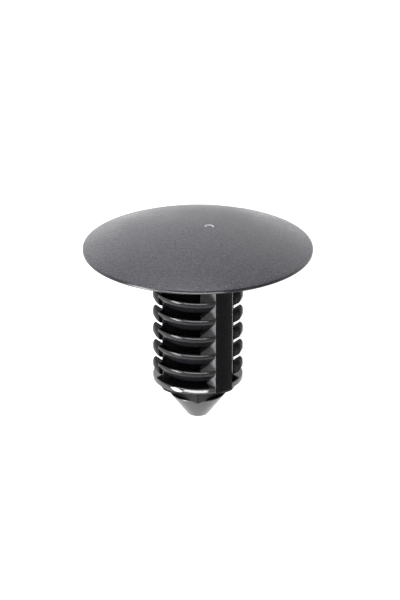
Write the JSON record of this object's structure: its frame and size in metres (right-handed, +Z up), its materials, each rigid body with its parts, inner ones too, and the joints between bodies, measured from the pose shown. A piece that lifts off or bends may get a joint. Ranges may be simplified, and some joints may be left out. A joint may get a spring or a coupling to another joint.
{
  "type": "trim clip",
  "caption": "One-piece push-in trim clip with a shallow domed head and a ribbed shank of slanted fins that ends in a blunt cone.",
  "frame": {"origin": "centre of the bounding box's underside, which is the ground the loose clip lies on", "axes": "+Z up, away from the ground; +Y along the clip towards its head, level; +X across the clip, to the right of someone who looks down at it with the head away from them"},
  "size_m": [0.02, 0.0188, 0.018],
  "materials": {
    "black_plastic": "moulded, finely textured on the head and smoother on the shank"
  },
  "bodies": {
    "root": {"trim_clip": "black_plastic"}
  },
  "joints": []
}
